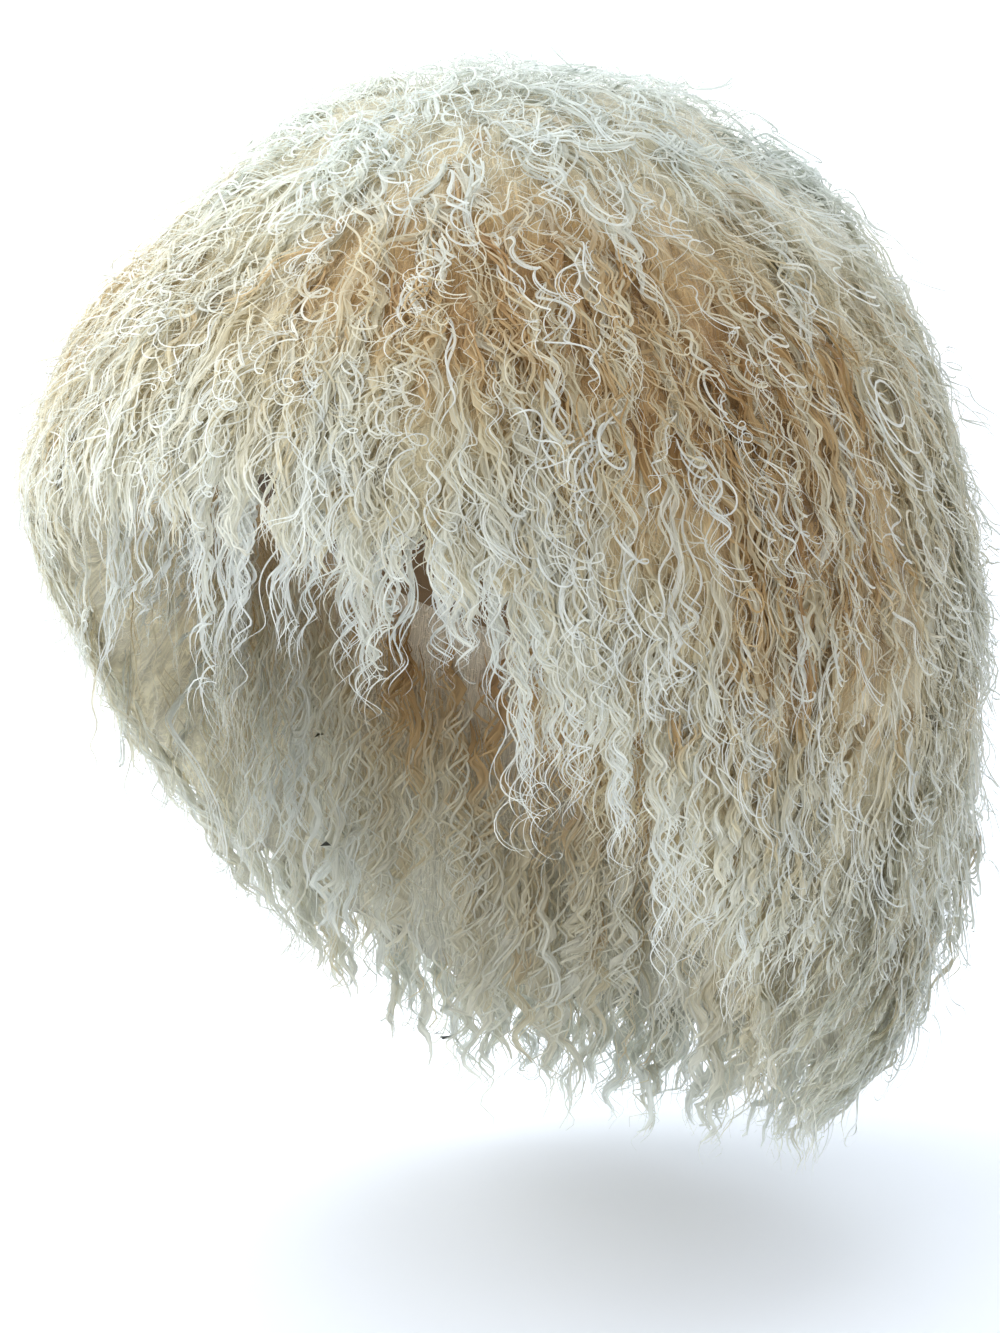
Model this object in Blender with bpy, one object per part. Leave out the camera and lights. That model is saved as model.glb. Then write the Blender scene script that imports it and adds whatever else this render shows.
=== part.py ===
"""Papakha: a shaggy long-wool sheepskin hat, in metres, +Z up as it is worn.

The origin is the head seat, the middle of the crown's underside, where the top of the head bears.
The face side is -Y and the wearer's left is +X. Azimuths run from the face side towards the left.
"""

import math

import bpy
import numpy as np

# The two sheepskin hides that are sewn into the hat
HIDE_WALL = 0.0025
FIT_GAP = 0.0003
HEAD_HALF_WIDTH = 0.081
HEAD_HALF_DEPTH = 0.099
CROWN_HALF_WIDTH = 0.073
CROWN_HALF_DEPTH = 0.089
CROWN_DROP = 0.006
BROW_DEPTH = 0.055
NAPE_DEPTH = 0.165

# The wool's outer form
PILE_TOP = 0.069
NAPE_REACH = 0.185
NAPE_FALL = 0.350

# The wool's locks
LOCK_COUNT = 33
COLUMNS_PER_LOCK = 4
LOCK_RELIEF = 0.007
TIER_LIFT = 0.006
SIDE_TIERS = 3
SWAY = 0.006
SWAY_LENGTH = 0.100
EAVE_STEP = 0.006
LOCK_SEED = 7

HIDE_COLUMNS = 44
SIDE_ROWS = 16
CROWN_ROWS = 6
INNER_ROWS = 4

# How far the wool reaches out and how far it falls, as shares of NAPE_REACH and NAPE_FALL
SECTORS = (
    # name, azimuth in degrees, reach, fall
    ("brow", 0.0, 0.88, 0.39),
    ("temple", 45.0, 0.90, 0.47),
    ("ear", 90.0, 0.90, 0.73),
    ("behind_ear", 135.0, 0.97, 0.95),
    ("nape", 180.0, 1.00, 1.00),
)

# The wool's outline, from the middle of the crown down to the hem. A level is a share of the height
# there, and a reach is a share of the sector's reach. The sides lie between brow and nape.
STATIONS = (
    # name, brow level, brow reach, nape level, nape reach
    ("middle", 0.000, 0.00, 0.000, 0.00),
    ("crown_flat", 0.035, 0.29, 0.020, 0.35),
    ("crown_edge", 0.130, 0.48, 0.065, 0.57),
    ("eave", 0.285, 0.69, 0.150, 0.79),
    ("upper_side", 0.440, 0.88, 0.280, 0.92),
    ("belly", 0.640, 0.98, 0.520, 1.00),
    ("lower_side", 0.820, 0.88, 0.780, 0.96),
    ("gather", 0.930, 0.77, 0.910, 0.86),
    ("hem", 1.000, 0.67, 1.000, 0.66),
)
EAVE = 3
BELLY = 5
HEM = len(STATIONS) - 1

# One lock across its columns, from the parting beside it to its crest and back: how far it stands
# out, and the share of the fall below the belly that the wool keeps there
LOCK_SECTION = (
    # name, height, length kept
    ("parting", -1.0, 0.70),
    ("near_flank", 0.35, 0.93),
    ("crest", 1.0, 1.03),
    ("far_flank", 0.35, 0.90),
)
EAVE_TIP_SHARE = 0.35
LENGTH_SPREAD_SHARE = 0.05

SHEEPSKIN = (0.62, 0.47, 0.30)
WOOL = (0.86, 0.79, 0.62)


def clear_scene():
    for thing in list(bpy.data.objects):
        bpy.data.objects.remove(thing)


def make_material(name, colour, roughness):
    material = bpy.data.materials.new(name)
    material.use_nodes = True
    shader = material.node_tree.nodes["Principled BSDF"]
    shader.inputs["Base Color"].default_value = (*colour, 1.0)
    shader.inputs["Roughness"].default_value = roughness
    return material


def make_object(name, rings, closed, material):
    """A solid skinned over rings of points, each (columns, 3), or (1, 3) for a pole.

    The rings run down the outside and back up the inside. closed joins the last to the first. Each
    four-sided cell is split along its shorter diagonal, so that skins 0.3 mm apart stay apart.
    """
    points = np.concatenate(rings)
    starts = np.cumsum([0] + [len(ring) for ring in rings])
    pairs = list(zip(range(len(rings)), range(1, len(rings))))
    if closed:
        pairs.append((len(rings) - 1, 0))
    faces = []
    for upper, lower in pairs:
        a, b = starts[upper], starts[lower]
        columns = max(len(rings[upper]), len(rings[lower]))
        for i in range(columns):
            j = (i + 1) % columns
            if len(rings[upper]) == 1:
                faces.append((a, b + i, b + j))
            elif len(rings[lower]) == 1:
                faces.append((a + i, b, a + j))
            elif math.dist(points[a + i], points[b + j]) < math.dist(points[b + i], points[a + j]):
                faces += [(a + i, b + i, b + j), (a + i, b + j, a + j)]
            else:
                faces += [(a + i, b + i, a + j), (b + i, b + j, a + j)]
    mesh = bpy.data.meshes.new(name)
    mesh.from_pydata(points.tolist(), [], faces)
    mesh.materials.append(material)
    mesh.shade_smooth()
    mesh.set_sharp_from_angle(angle=math.radians(40))
    thing = bpy.data.objects.new(name, mesh)
    bpy.context.scene.collection.objects.link(thing)
    return thing


def azimuths(columns):
    """Evenly spaced directions, anticlockwise seen from above, so that skins face outwards."""
    return 2 * math.pi * np.arange(columns) / columns


def ring_at(azimuth, reach, height):
    """Points at a reach from the Z axis in each direction, at a height."""
    height = np.broadcast_to(height, azimuth.shape)
    return np.stack([reach * np.sin(azimuth), -reach * np.cos(azimuth), height], axis=1)


def pole_at(height):
    return np.array([[0.0, 0.0, height]])


def oval_reach(azimuth, half_width, half_depth):
    """How far an oval's edge is from its middle in each direction."""
    return 1 / np.hypot(np.sin(azimuth) / half_width, np.cos(azimuth) / half_depth)


def between(low, high, share):
    return low + (high - low) * share


def rim_height(azimuth):
    """The hide's lower edge is cut on a slope, from the brow down to the nape."""
    backward = -np.cos(azimuth)
    return -between(BROW_DEPTH, NAPE_DEPTH, (1 + backward) / 2)


def hide_ring(azimuth, share, offset):
    """A ring on the band's inner face, pushed out by offset: share 0 at the crown, 1 at the rim."""
    crown = oval_reach(azimuth, CROWN_HALF_WIDTH, CROWN_HALF_DEPTH)
    rim = oval_reach(azimuth, HEAD_HALF_WIDTH, HEAD_HALF_DEPTH)
    height = between(-CROWN_DROP - FIT_GAP, rim_height(azimuth), share)
    return ring_at(azimuth, between(crown, rim, share) + offset, height)


def crown_ring(azimuth, share, height_offset, edge_offset):
    """A ring on the crown's underside, which falls from its middle to its edge."""
    edge = oval_reach(azimuth, CROWN_HALF_WIDTH, CROWN_HALF_DEPTH) + edge_offset
    return ring_at(azimuth, edge * share, -CROWN_DROP * share**2 + height_offset)


def catmull_rom(table, place):
    """Reads the table's rows at fractional places along a smooth curve through them."""
    last = len(table) - 1
    first = np.clip(np.floor(place).astype(int), 0, last - 1)
    t = (place - first)[..., None]
    before = table[np.maximum(first - 1, 0)]
    start, end = table[first], table[first + 1]
    after = table[np.minimum(first + 2, last)]
    return start + 0.5 * t * (
        end - before
        + t * (2 * before - 5 * start + 4 * end - after + t * (3 * (start - end) + after - before))
    )


def sector_sizes(azimuth):
    """The wool's reach and fall in each direction, alike on the left and the right."""
    turn = np.degrees(np.abs((azimuth + math.pi) % (2 * math.pi) - math.pi))
    angle = [row[1] for row in SECTORS]
    place = np.interp(turn, angle, range(len(SECTORS)))
    shares = catmull_rom(np.array([row[2:] for row in SECTORS]), place)
    return NAPE_REACH * shares[:, 0], NAPE_FALL * shares[:, 1]


def outline(azimuth, place):
    """Reach and height of the wool's smooth outline at fractional station places."""
    reach, fall = sector_sizes(azimuth)
    shares = catmull_rom(np.array([row[1:] for row in STATIONS]), place)
    nape = (1 - np.cos(azimuth)) / 2
    level = between(shares[:, 0], shares[:, 2], nape)
    share = between(shares[:, 1], shares[:, 3], nape)
    return reach * share, PILE_TOP - level * (PILE_TOP + fall)


class Locks:
    """What each column of the wool does: the lock it belongs to, and that lock's own variation."""

    def __init__(self):
        self.columns = LOCK_COUNT * COLUMNS_PER_LOCK
        self.azimuth = azimuths(self.columns)
        chance = np.random.RandomState(LOCK_SEED)
        lock = np.arange(self.columns) // COLUMNS_PER_LOCK
        self.phase = chance.uniform(0, 2 * math.pi, LOCK_COUNT)[lock]
        self.length = chance.uniform(-LENGTH_SPREAD_SHARE, LENGTH_SPREAD_SHARE, LOCK_COUNT)[lock]
        self.eave_tip = chance.uniform(0.5, 1.0, LOCK_COUNT)[lock]

    def section(self, column, shift=0):
        """One column of LOCK_SECTION across all locks. shift moves them sideways by columns."""
        values = np.array([row[column] for row in LOCK_SECTION])
        across = (np.arange(self.columns) + shift) % COLUMNS_PER_LOCK
        return values[across * len(LOCK_SECTION) // COLUMNS_PER_LOCK]

    def eave_place(self):
        """Where along the stations each of the crown's locks ends."""
        crest = (1 + self.section(1)) / 2
        return EAVE + EAVE_TIP_SHARE * self.eave_tip * crest

    def outer_ring(self, place, relief, tier):
        """A ring of the wool's surface. Locks sway from side to side and end in tips at the hem."""
        reach, height = outline(self.azimuth, place)
        belly = outline(self.azimuth, np.full(self.columns, float(BELLY)))[1]
        kept = self.section(2, self.tier_shift(tier)) + self.length
        height = np.where(place > BELLY, belly + (height - belly) * kept, height)
        swing = np.clip((place - EAVE - 0.5) / 1.5, 0, 1) * SWAY
        angle = swing * np.sin(2 * math.pi * height / SWAY_LENGTH + self.phase) / reach
        return ring_at(self.azimuth + angle, reach + relief, height)

    def tier_shift(self, tier):
        """Every other tier lies half a lock to the side."""
        return (tier % 2) * COLUMNS_PER_LOCK // 2

    def parting(self, share):
        """The surface where the crown's wool lies on the band's, from the hide out to the eave."""
        inner = crown_ring(self.azimuth, 1.0, 0.0, HIDE_WALL + FIT_GAP)
        outer = self.outer_ring(self.eave_place(), LOCK_RELIEF * self.section(1), 0)
        return between(inner, outer, np.reshape(share, (-1, 1)))

    def eave_length(self):
        return np.linalg.norm(self.parting(1.0) - self.parting(0.0), axis=1)


def build_band_hide(material):
    azimuth = azimuths(HIDE_COLUMNS)
    rings = [
        hide_ring(azimuth, 0.0, HIDE_WALL),
        hide_ring(azimuth, 0.5, HIDE_WALL),
        hide_ring(azimuth, 1.0, HIDE_WALL),
        hide_ring(azimuth, 1.0, 0.0),
        hide_ring(azimuth, 0.5, 0.0),
        hide_ring(azimuth, 0.0, 0.0),
    ]
    return make_object("band_hide", rings, True, material)


def build_crown_hide(material):
    azimuth = azimuths(HIDE_COLUMNS)
    shares = (1 / 3, 2 / 3, 1.0)
    top = [crown_ring(azimuth, share, HIDE_WALL, HIDE_WALL) for share in shares]
    under = [crown_ring(azimuth, share, 0.0, HIDE_WALL) for share in reversed(shares)]
    rings = [pole_at(HIDE_WALL), *top, *under, pole_at(0.0)]
    return make_object("crown_hide", rings, False, material)


def build_crown_wool(locks, material):
    """Locks that fan out from the middle of the crown and droop over its edge."""
    crest = locks.section(1)
    rings = [pole_at(PILE_TOP)]
    for row in range(1, CROWN_ROWS + 1):
        share = row / CROWN_ROWS
        rings.append(locks.outer_ring(locks.eave_place() * share, LOCK_RELIEF * crest * share, 0))
    rings.append(locks.parting(1 - EAVE_STEP / locks.eave_length()))
    rings.append(locks.parting(0.5))
    rings.append(locks.parting(0.0))
    for share in (1.0, 2 / 3, 1 / 3):
        rings.append(crown_ring(locks.azimuth, share, HIDE_WALL + FIT_GAP, HIDE_WALL + FIT_GAP))
    rings.append(pole_at(HIDE_WALL + FIT_GAP))
    return make_object("crown_wool", rings, False, material)


def build_band_wool(locks, material):
    """Tiers of hanging locks round the band. Below the rim they are an open, hollow fringe."""
    below = np.array([0.0, 0.0, -FIT_GAP])
    top_outer = locks.parting(1 - EAVE_STEP / locks.eave_length()) + below
    start = locks.eave_place()
    rings = [top_outer]
    for row in range(1, SIDE_ROWS + 1):
        share = row / SIDE_ROWS
        place = start + (HEM - start) * share
        tier = min(int(share * SIDE_TIERS), SIDE_TIERS - 1)
        through = share * SIDE_TIERS - tier
        swell = math.sin(math.pi * min(share, 0.75) / 0.75)
        relief = LOCK_RELIEF * locks.section(1, locks.tier_shift(tier)) * max(swell, 0.25)
        lift = TIER_LIFT * (through - 0.5)
        if row == SIDE_ROWS:
            relief, lift = 0.0, 0.0
        rings.append(locks.outer_ring(place, relief + lift, SIDE_TIERS - 1))
    hem = rings[-1]
    rim = hide_ring(locks.azimuth, 1.0, HIDE_WALL + FIT_GAP)
    for row in range(1, INNER_ROWS):
        share = row / INNER_ROWS
        rings.append(between(hem, rim, share))
    for share in (1.0, 0.5, 0.0):
        rings.append(hide_ring(locks.azimuth, share, HIDE_WALL + FIT_GAP))
    rings.append(locks.parting(0.5) + below)
    return make_object("band_wool", rings, True, material)


def main():
    clear_scene()
    sheepskin = make_material("sheepskin", SHEEPSKIN, 0.9)
    wool = make_material("wool", WOOL, 0.95)
    locks = Locks()
    build_crown_hide(sheepskin)
    build_band_hide(sheepskin)
    build_crown_wool(locks, wool)
    build_band_wool(locks, wool)


main()
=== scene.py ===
"""Looks of the papakha: a sheepskin hat with its long curly wool outside, as it is worn.

Wool is built in three depths. An underlayer fills the body of the fleece. Fuzz, short fine fibres,
hides it. Locks lie on top: bundles of long crimped fibres that hang from the crown and the band.
"""

import logging
import math
from dataclasses import dataclass, field
from enum import Enum

import bpy
import numpy as np
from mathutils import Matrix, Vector

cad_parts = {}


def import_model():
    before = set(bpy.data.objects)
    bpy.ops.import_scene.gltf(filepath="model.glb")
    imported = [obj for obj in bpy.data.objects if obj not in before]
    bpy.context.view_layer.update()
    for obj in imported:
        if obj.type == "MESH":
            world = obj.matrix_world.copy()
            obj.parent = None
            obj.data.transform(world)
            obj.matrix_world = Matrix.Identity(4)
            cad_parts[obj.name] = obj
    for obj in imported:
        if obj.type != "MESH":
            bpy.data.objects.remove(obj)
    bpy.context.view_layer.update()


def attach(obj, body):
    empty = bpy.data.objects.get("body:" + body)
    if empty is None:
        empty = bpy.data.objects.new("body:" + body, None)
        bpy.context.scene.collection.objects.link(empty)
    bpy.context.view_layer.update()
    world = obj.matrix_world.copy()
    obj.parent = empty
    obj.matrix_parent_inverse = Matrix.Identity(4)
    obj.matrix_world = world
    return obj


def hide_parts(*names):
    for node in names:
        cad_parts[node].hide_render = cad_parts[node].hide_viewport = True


LOG = logging.getLogger("papakha")
ROOT = "root"
TURN = 2 * math.pi

# Sizes of the hides and of the wool's outer form, in metres, as the CAD has them
HIDE_WALL = 0.0025
HEAD_HALF_WIDTH = 0.081
HEAD_HALF_DEPTH = 0.099
CROWN_HALF_WIDTH = 0.073
CROWN_HALF_DEPTH = 0.089
CROWN_DROP = 0.006
BROW_DEPTH = 0.055
NAPE_DEPTH = 0.165
PILE_TOP = 0.069
NAPE_REACH = 0.185
NAPE_FALL = 0.350

# How far the wool reaches out and how far it falls, as shares of NAPE_REACH and NAPE_FALL
SECTORS = (
    # name, azimuth in degrees, reach, fall
    ("brow", 0.0, 0.88, 0.39),
    ("temple", 45.0, 0.90, 0.47),
    ("ear", 90.0, 0.90, 0.73),
    ("behind_ear", 135.0, 0.97, 0.95),
    ("nape", 180.0, 1.00, 1.00),
)

# The wool's outline from the middle of the crown to the hem: shares of height and reach
STATIONS = (
    # name, brow level, brow reach, nape level, nape reach
    ("middle", 0.000, 0.00, 0.000, 0.00),
    ("crown_flat", 0.035, 0.29, 0.020, 0.35),
    ("crown_edge", 0.130, 0.48, 0.065, 0.57),
    ("eave", 0.285, 0.69, 0.150, 0.79),
    ("upper_side", 0.440, 0.88, 0.280, 0.92),
    ("belly", 0.640, 0.98, 0.520, 1.00),
    ("lower_side", 0.820, 0.88, 0.780, 0.96),
    ("gather", 0.930, 0.77, 0.910, 0.86),
    ("hem", 1.000, 0.67, 1.000, 0.66),
)
EAVE = 3
BELLY = 5
HEM = len(STATIONS) - 1
BODY_END = 2
LOCKS_END = 3

# Where the body of the fleece and its outer locks end, between belly 0 and hem 1
ENDS = (
    # name, azimuth in degrees, body, locks
    ("brow", 0.0, -0.20, 0.05),
    ("over_eye", 30.0, -0.05, 0.22),
    ("temple", 48.0, 0.25, 0.52),
    ("cheek", 70.0, 0.56, 0.90),
    ("ear", 90.0, 0.70, 1.02),
    ("behind_ear", 135.0, 0.82, 1.06),
    ("nape", 180.0, 0.84, 1.06),
)

# Where the wool is stained a warmer colour, as old lanolin leaves it
STAINS = (
    # name, azimuth in degrees, height, half width in degrees, half height, strength
    ("over_brow", 26.0, 0.010, 24.0, 0.030, 1.15),
    ("temple", 58.0, -0.018, 20.0, 0.050, 1.38),
    ("ear_parting", 75.0, -0.070, 5.0, 0.060, 1.30),
    ("behind_ear", 88.0, -0.070, 18.0, 0.070, 0.95),
    ("cheek", 62.0, -0.125, 20.0, 0.050, 0.40),
    ("right_temple", -38.0, -0.010, 22.0, 0.036, 0.60),
)

# The longest locks of the fringe, which hang in front of the temple and the cheek
LONG_LOCKS = (
    # name, azimuth in degrees, height of the tip, swing of the curl, how far it loops
    ("tangle", 40.0, -0.181, 0.0050, 1.20),
    ("tangle_mate", 41.0, -0.168, 0.0026, 0.00),
    ("over_cheek", 46.0, -0.172, 0.0036, 0.00),
    ("before_ear", 53.0, -0.196, 0.0034, 0.00),
    ("longest", 57.5, -0.238, 0.0030, 0.00),
    ("longest_mate", 59.0, -0.218, 0.0034, 0.00),
    ("beside_ear", 64.0, -0.226, 0.0034, 0.00),
)

# Steps that fill a unit cube evenly: 1/g, 1/g^2 and 1/g^3, where g^4 = g + 1
EVEN_STEPS = (0.8191725134, 0.6710436067, 0.5497004779)

# How far above the hide's rim the wool of the inside and the underside starts
ROOM_AT_RIM = 0.004


def linear(hex_colour: str) -> tuple[float, float, float]:
    """Converts an sRGB colour to the linear values that shaders take.

    Args:
        hex_colour: Six hexadecimal digits, with or without a leading #.

    Returns:
        Red, green and blue from 0 to 1, linear.
    """
    digits = hex_colour.lstrip("#")
    shares = (int(digits[i : i + 2], 16) / 255 for i in (0, 2, 4))
    return tuple(s / 12.92 if s <= 0.04045 else ((s + 0.055) / 1.055) ** 2.4 for s in shares)


def catmull_rom(table: np.ndarray, place: np.ndarray) -> np.ndarray:
    """Reads a table's rows at fractional places along a smooth curve through them.

    Args:
        table: One row of values for each station.
        place: Fractional row numbers.

    Returns:
        An array of the shape of place, with the row's values as its last axis.
    """
    last = len(table) - 1
    first = np.clip(np.floor(place).astype(int), 0, last - 1)
    t = (place - first)[..., None]
    before = table[np.maximum(first - 1, 0)]
    start, end = table[first], table[first + 1]
    after = table[np.minimum(first + 2, last)]
    return start + 0.5 * t * (
        end - before
        + t * (2 * before - 5 * start + 4 * end - after + t * (3 * (start - end) + after - before))
    )


def smooth(low: float, high: float, value: np.ndarray) -> np.ndarray:
    """An S-shaped ramp from 0 at low to 1 at high."""
    t = np.clip((value - low) / (high - low), 0, 1)
    return t * t * (3 - 2 * t)


def turn_from_brow(azimuth: np.ndarray) -> np.ndarray:
    """Degrees away from the brow, the same to the left and the right."""
    return np.degrees(np.abs((azimuth + math.pi) % TURN - math.pi))


@dataclass
class Fleece:
    """The wool's smooth outer form, addressed by azimuth and by the run down from the crown.

    Azimuths turn from the brow towards the wearer's left. A run is the length in metres along the
    surface from the middle of the crown. Below the hem the surface goes on straight down.
    """

    columns: int = 181
    step: float = 0.0025
    longest: float = 0.60
    places: int = 320
    reach: np.ndarray = field(init=False)
    height: np.ndarray = field(init=False)
    out_slope: np.ndarray = field(init=False)
    up_slope: np.ndarray = field(init=False)
    marks: dict[int, np.ndarray] = field(init=False)

    def __post_init__(self) -> None:
        """Walks down every column once and resamples it at even steps."""
        azimuth = np.linspace(0, TURN, self.columns)
        place = np.linspace(0, HEM, self.places + 1)
        shares = catmull_rom(np.array([row[1:] for row in STATIONS]), place)
        nape = ((1 - np.cos(azimuth)) / 2)[:, None]
        level = shares[:, 0] + (shares[:, 2] - shares[:, 0]) * nape
        share = shares[:, 1] + (shares[:, 3] - shares[:, 1]) * nape
        sector = np.interp(
            turn_from_brow(azimuth), [row[1] for row in SECTORS], range(len(SECTORS))
        )
        sizes = catmull_rom(np.array([row[2:] for row in SECTORS]), sector)
        reach = NAPE_REACH * sizes[:, :1] * share
        height = PILE_TOP - level * (PILE_TOP + NAPE_FALL * sizes[:, 1:])
        below = np.full((self.columns, 1), self.longest)
        reach = np.concatenate([reach, reach[:, -1:]], axis=1)
        height = np.concatenate([height, height[:, -1:] - below], axis=1)
        run = np.hypot(np.diff(reach, axis=1), np.diff(height, axis=1)).cumsum(axis=1)
        run = np.concatenate([np.zeros((self.columns, 1)), run], axis=1)
        even = np.arange(0, self.longest, self.step)
        self.reach = np.array([np.interp(even, run[i], reach[i]) for i in range(self.columns)])
        self.height = np.array([np.interp(even, run[i], height[i]) for i in range(self.columns)])
        self.out_slope = np.gradient(self.reach, self.step, axis=1)
        self.up_slope = np.gradient(self.height, self.step, axis=1)
        per_place = self.places // HEM
        self.marks = {mark: run[:, mark * per_place] for mark in (EAVE, BELLY, HEM)}

    def run_of(self, mark: int, azimuth: np.ndarray) -> np.ndarray:
        """The run at which a station lies in each direction.

        Args:
            mark: EAVE, BELLY or HEM.
            azimuth: Directions in radians.

        Returns:
            Runs in metres.
        """
        even = np.linspace(0, TURN, self.columns)
        return np.interp(azimuth % TURN, even, self.marks[mark])

    def end_of(self, column: int, azimuth: np.ndarray) -> np.ndarray:
        """The run at which a column of ENDS says that the wool ends in each direction.

        Args:
            column: BODY_END or LOCKS_END.
            azimuth: Directions in radians.

        Returns:
            Runs in metres.
        """
        turn = turn_from_brow(azimuth)
        share = np.interp(turn, [row[1] for row in ENDS], [row[column] for row in ENDS])
        belly, hem = self.run_of(BELLY, azimuth), self.run_of(HEM, azimuth)
        return belly + (hem - belly) * share

    def read(self, grid: np.ndarray, azimuth: np.ndarray, run: np.ndarray) -> np.ndarray:
        """Reads one of the even grids between its samples.

        Args:
            grid: reach, height, out_slope or up_slope.
            azimuth: Directions in radians, of any shape.
            run: Runs in metres, of the same shape.

        Returns:
            The grid's values, of that shape.
        """
        a = (azimuth % TURN) / TURN * (self.columns - 1)
        b = np.clip(run / self.step, 0, grid.shape[1] - 1.001)
        i, j = np.minimum(a.astype(int), self.columns - 2), b.astype(int)
        a, b = a - i, b - j
        return (grid[i, j] * (1 - a) + grid[i + 1, j] * a) * (1 - b) + (
            grid[i, j + 1] * (1 - a) + grid[i + 1, j + 1] * a
        ) * b

    def frame(self, azimuth: np.ndarray, run: np.ndarray) -> tuple[np.ndarray, ...]:
        """Position, outward normal, downward tangent and sideways tangent at points.

        Args:
            azimuth: Directions in radians, of any shape.
            run: Runs in metres, of the same shape.

        Returns:
            Four arrays of that shape with a last axis of three.
        """
        sine, cosine = np.sin(azimuth), np.cos(azimuth)
        reach = self.read(self.reach, azimuth, run)
        height = self.read(self.height, azimuth, run)
        out = self.read(self.out_slope, azimuth, run)
        up = self.read(self.up_slope, azimuth, run)
        length = np.maximum(np.hypot(out, up), 1e-9)
        out, up = out / length, up / length
        zero = np.zeros_like(sine)
        position = np.stack([reach * sine, -reach * cosine, height], axis=-1)
        down = np.stack([out * sine, -out * cosine, up], axis=-1)
        normal = np.stack([-up * sine, up * cosine, out], axis=-1)
        side = np.stack([cosine, sine, zero], axis=-1)
        return position, normal, down, side


def oval_reach(azimuth: np.ndarray, half_width: float, half_depth: float) -> np.ndarray:
    """How far an oval's edge is from its middle in each direction."""
    return 1 / np.hypot(np.sin(azimuth) / half_width, np.cos(azimuth) / half_depth)


def rim_height(azimuth: np.ndarray) -> np.ndarray:
    """The height of the hide's lower edge, which slopes from the brow down to the nape."""
    return -BROW_DEPTH - (NAPE_DEPTH - BROW_DEPTH) * (1 - np.cos(azimuth)) / 2


def ring_at(azimuth: np.ndarray, reach: np.ndarray, height: np.ndarray) -> np.ndarray:
    """Points at a reach from the Z axis in each direction, at a height."""
    height = np.broadcast_to(height, azimuth.shape)
    return np.stack([reach * np.sin(azimuth), -reach * np.cos(azimuth), height], axis=-1)


@dataclass(frozen=True)
class Dye:
    """The natural colours of the wool, from its stained depth to its faded tips, and a cool white
    mixed in as painted light.
    """

    deep: tuple[float, float, float] = linear("AC8450")
    amber: tuple[float, float, float] = linear("D0B07C")
    tan: tuple[float, float, float] = linear("E2D6B4")
    cream: tuple[float, float, float] = linear("F0EDDC")
    ivory: tuple[float, float, float] = linear("F7F9F2")
    # A cool white that greyed() mixes in: painted light on the top and the far inside
    cool: tuple[float, float, float] = linear("F0F6F2")

    def stain(self, azimuth: np.ndarray, height: np.ndarray) -> np.ndarray:
        """How warm the wool is at points.

        Args:
            azimuth: Directions in radians.
            height: Heights in metres, of a shape that goes with it.

        Returns:
            Warmth from 0 to about 1.
        """
        total = np.zeros(np.broadcast(azimuth, height).shape)
        for _, middle, level, half_width, half_height, strength in STAINS:
            across = (np.degrees(azimuth) - middle + 180) % 360 - 180
            along = (height - level) / half_height
            total = total + strength * np.exp(-((across / half_width) ** 2) - along**2)
        return np.clip(total, 0, 1.2)

    def blend(self, share: np.ndarray) -> np.ndarray:
        """Colours along the way from deep at 0 through amber, tan and cream to ivory at 1.

        Args:
            share: How far along, of any shape.

        Returns:
            Linear colours, with a last axis of three.
        """
        stops = np.array([self.deep, self.amber, self.tan, self.cream, self.ivory])
        place = np.clip(share, 0, 1) * (len(stops) - 1)
        channels = [np.interp(place, range(len(stops)), stop) for stop in stops.T]
        return np.stack(channels, axis=-1)

    def greyed(self, colour: np.ndarray, share: np.ndarray) -> np.ndarray:
        """Mixes colours with the cool white: painted light where the top and the far inside are
        whiter, and a cooler tone toward the back.
        """
        share = np.clip(share, 0, 1)[..., None]
        return colour * (1 - share) + np.array(self.cool) * share


@dataclass
class Bundle:
    """Many fibres, each with its own place and curl. Every field has one value for each fibre."""

    azimuth: np.ndarray
    run: np.ndarray
    heading: np.ndarray
    length: np.ndarray
    sunk: np.ndarray
    rise: np.ndarray
    lift: np.ndarray
    drift: np.ndarray
    period: np.ndarray
    amplitude: np.ndarray
    depth_share: np.ndarray
    phase: np.ndarray
    loop: np.ndarray
    onset: np.ndarray
    aside: np.ndarray
    ahead: np.ndarray
    gather: np.ndarray
    width: np.ndarray
    roll: np.ndarray
    shade: np.ndarray
    stained: np.ndarray
    # How much of the cool white's painted light each fibre takes
    cool_white_share: np.ndarray
    plumb: np.ndarray

    def __len__(self) -> int:
        """How many fibres there are."""
        return len(self.azimuth)

    def chosen(self, which: np.ndarray) -> "Bundle":
        """The fibres at the given indices."""
        return Bundle(**{name: getattr(self, name)[which] for name in self.__dataclass_fields__})


class Unevenness:
    """Slow random change over the fleece that neighbours share, as often above 0 as below."""

    def __init__(self, chance: np.random.RandomState, size: float, waves: int = 12) -> None:
        """Draws the waves that add up to it.

        Args:
            chance: Where random numbers come from.
            size: About how long one wave is, in metres.
            waves: How many there are.
        """
        heading = chance.normal(0, 1, (3, waves))
        heading /= np.linalg.norm(heading, axis=0)
        self.waves = heading * TURN / size * chance.uniform(0.5, 1.5, waves)
        self.phase = chance.uniform(0, TURN, waves)

    def at(self, position: np.ndarray) -> np.ndarray:
        """Its value at points, mostly between -2 and 2."""
        waves = np.sin(position @ self.waves + self.phase)
        return waves.sum(axis=-1) * math.sqrt(2 / len(self.phase))


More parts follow.
